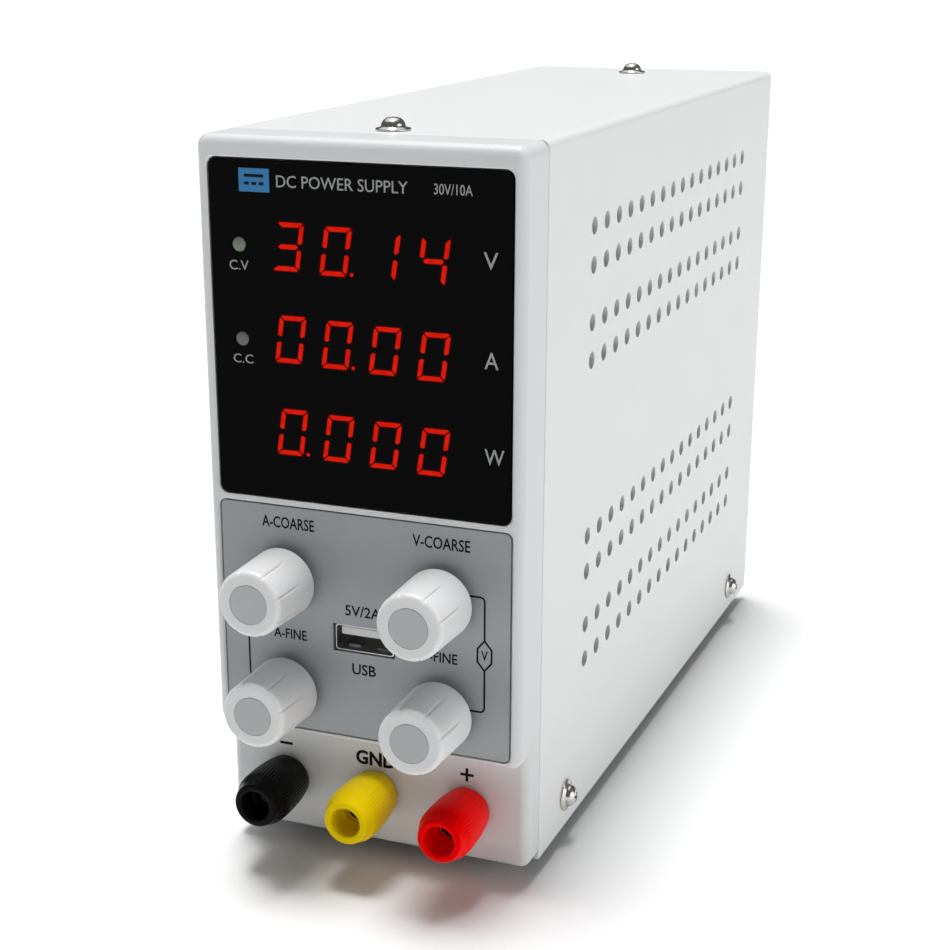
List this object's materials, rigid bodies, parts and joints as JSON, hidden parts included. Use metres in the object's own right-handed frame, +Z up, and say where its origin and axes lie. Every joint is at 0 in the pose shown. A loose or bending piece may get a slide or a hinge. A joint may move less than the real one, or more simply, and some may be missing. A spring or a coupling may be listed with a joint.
{
  "type": "bench power supply",
  "caption": "Narrow upright bench power supply with a perforated steel cover, a digital meter window, control knobs, a USB outlet, binding posts, and a fan, mains inlet and switches behind.",
  "frame": {"origin": "centre of the whole box's underside, on the surface that the feet rest on", "axes": "+X to the right seen from the front, -Y out of the front panel, +Z up"},
  "size_m": [0.0746, 0.2174, 0.1561],
  "materials": {
    "white_powder_coat": "satin powder coat",
    "front_moulding": "satin",
    "window_black": "gloss",
    "overlay_grey": "matt",
    "knob_white": "satin",
    "zinc_steel": "zinc plated",
    "nickel": "nickel plated",
    "brass": "turned",
    "aluminium": "satin",
    "black_plastic": "satin",
    "rubber": "matt",
    "circuit_board": "satin",
    "meter_red": "gloss",
    "lamp_lens": "diffused",
    "post_black": "satin",
    "post_yellow": "satin",
    "post_red": "satin",
    "slider_red": "satin",
    "capacitor_sleeve": "gloss",
    "ferrite": "matt"
  },
  "bodies": {
    "case": {"top_cover": "white_powder_coat", "rear_panel": "white_powder_coat", "base_chassis": "zinc_steel", "usb_socket_shell": "zinc_steel", "top_screw_front": "nickel", "top_screw_rear": "nickel", "left_screw_front": "nickel", "right_screw_front": "nickel", "left_screw_rear": "nickel", "right_screw_rear": "nickel", "bezel_screw": "nickel", "foot_front_left": "rubber", "foot_front_right": "rubber", "foot_rear_left": "rubber", "foot_rear_right": "rubber", "front_bezel": "front_moulding", "usb_tongue": "front_moulding", "display_window": "window_black", "control_overlay": "overlay_grey", "voltage_display": "meter_red", "current_display": "meter_red", "power_display": "meter_red", "cv_led": "lamp_lens", "cc_led": "lamp_lens", "display_board": "circuit_board", "control_board": "circuit_board", "main_board": "circuit_board", "current_coarse_potentiometer": "zinc_steel", "current_fine_potentiometer": "zinc_steel", "voltage_coarse_potentiometer": "zinc_steel", "voltage_fine_potentiometer": "zinc_steel", "minus_post_stud": "nickel", "ground_post_stud": "nickel", "plus_post_stud": "nickel", "fan_frame": "black_plastic", "mains_inlet": "black_plastic", "power_switch_body": "black_plastic", "voltage_selector_body": "black_plastic", "transformer": "ferrite", "heat_sink": "aluminium", "input_capacitor": "capacitor_sleeve", "output_capacitor": "capacitor_sleeve"},
    "current_coarse_control": {"current_coarse_knob": "knob_white", "current_coarse_shaft": "aluminium"},
    "current_fine_control": {"current_fine_knob": "knob_white", "current_fine_shaft": "aluminium"},
    "voltage_coarse_control": {"voltage_coarse_knob": "knob_white", "voltage_coarse_shaft": "aluminium"},
    "voltage_fine_control": {"voltage_fine_knob": "knob_white", "voltage_fine_shaft": "aluminium"},
    "minus_post_carrier": {"minus_post_insert": "brass"},
    "minus_post_grip": {"minus_post_cap": "post_black"},
    "ground_post_carrier": {"ground_post_insert": "brass"},
    "ground_post_grip": {"ground_post_cap": "post_yellow"},
    "plus_post_carrier": {"plus_post_insert": "brass"},
    "plus_post_grip": {"plus_post_cap": "post_red"},
    "rocker": {"power_switch_rocker": "black_plastic"},
    "selector": {"voltage_selector_slider": "slider_red"},
    "drawer": {"fuse_drawer": "black_plastic"},
    "impeller": {"fan_rotor": "black_plastic"}
  },
  "joints": [
    {"name": "current_coarse_turn", "type": "hinge", "parent": "case", "child": "current_coarse_control", "pos_m": [-0.0172, -0.10139, 0.0639], "axis": [0, -1, 0], "range_deg": [-150, 150]},
    {"name": "current_fine_turn", "type": "hinge", "parent": "case", "child": "current_fine_control", "pos_m": [-0.0172, -0.10139, 0.0399], "axis": [0, -1, 0], "range_deg": [-150, 150]},
    {"name": "voltage_coarse_turn", "type": "hinge", "parent": "case", "child": "voltage_coarse_control", "pos_m": [0.0172, -0.10139, 0.0639], "axis": [0, -1, 0], "range_deg": [-10, 290]},
    {"name": "voltage_fine_turn", "type": "hinge", "parent": "case", "child": "voltage_fine_control", "pos_m": [0.0172, -0.10139, 0.0399], "axis": [0, -1, 0], "range_deg": [-150, 150]},
    {"name": "minus_post_travel", "type": "slide", "parent": "case", "child": "minus_post_carrier", "axis": [0, -1, 0], "range_m": [0, 0.006]},
    {"name": "minus_post_spin", "type": "hinge", "parent": "minus_post_carrier", "child": "minus_post_grip", "pos_m": [-0.0208, -0.09439, 0.0164], "axis": [0, -1, 0], "range_deg": [0, 2710]},
    {"name": "ground_post_travel", "type": "slide", "parent": "case", "child": "ground_post_carrier", "axis": [0, -1, 0], "range_m": [0, 0.006]},
    {"name": "ground_post_spin", "type": "hinge", "parent": "ground_post_carrier", "child": "ground_post_grip", "pos_m": [0, -0.09439, 0.0164], "axis": [0, -1, 0], "range_deg": [0, 2710]},
    {"name": "plus_post_travel", "type": "slide", "parent": "case", "child": "plus_post_carrier", "axis": [0, -1, 0], "range_m": [0, 0.006]},
    {"name": "plus_post_spin", "type": "hinge", "parent": "plus_post_carrier", "child": "plus_post_grip", "pos_m": [0.0208, -0.09439, 0.0164], "axis": [0, -1, 0], "range_deg": [0, 2710]},
    {"name": "power_rocker", "type": "hinge", "parent": "case", "child": "rocker", "pos_m": [0.018, 0.10421, 0.0328], "axis": [1, 0, 0], "range_deg": [-20, 0]},
    {"name": "voltage_select", "type": "slide", "parent": "case", "child": "selector", "axis": [1, 0, 0], "range_m": [0, 0.004]},
    {"name": "fuse_drawer_pull", "type": "slide", "parent": "case", "child": "drawer", "axis": [0, 1, 0], "range_m": [0, 0.015]},
    {"name": "fan_spin", "type": "hinge", "parent": "case", "child": "impeller", "pos_m": [0, 0.09461, 0.1168], "axis": [0, 1, 0], "continuous": true}
  ],
  "couplings": [
    {"joint": "minus_post_spin", "follows": "minus_post_travel", "rad_per_m": 7854},
    {"joint": "ground_post_spin", "follows": "ground_post_travel", "rad_per_m": 7854},
    {"joint": "plus_post_spin", "follows": "plus_post_travel", "rad_per_m": 7854}
  ]
}
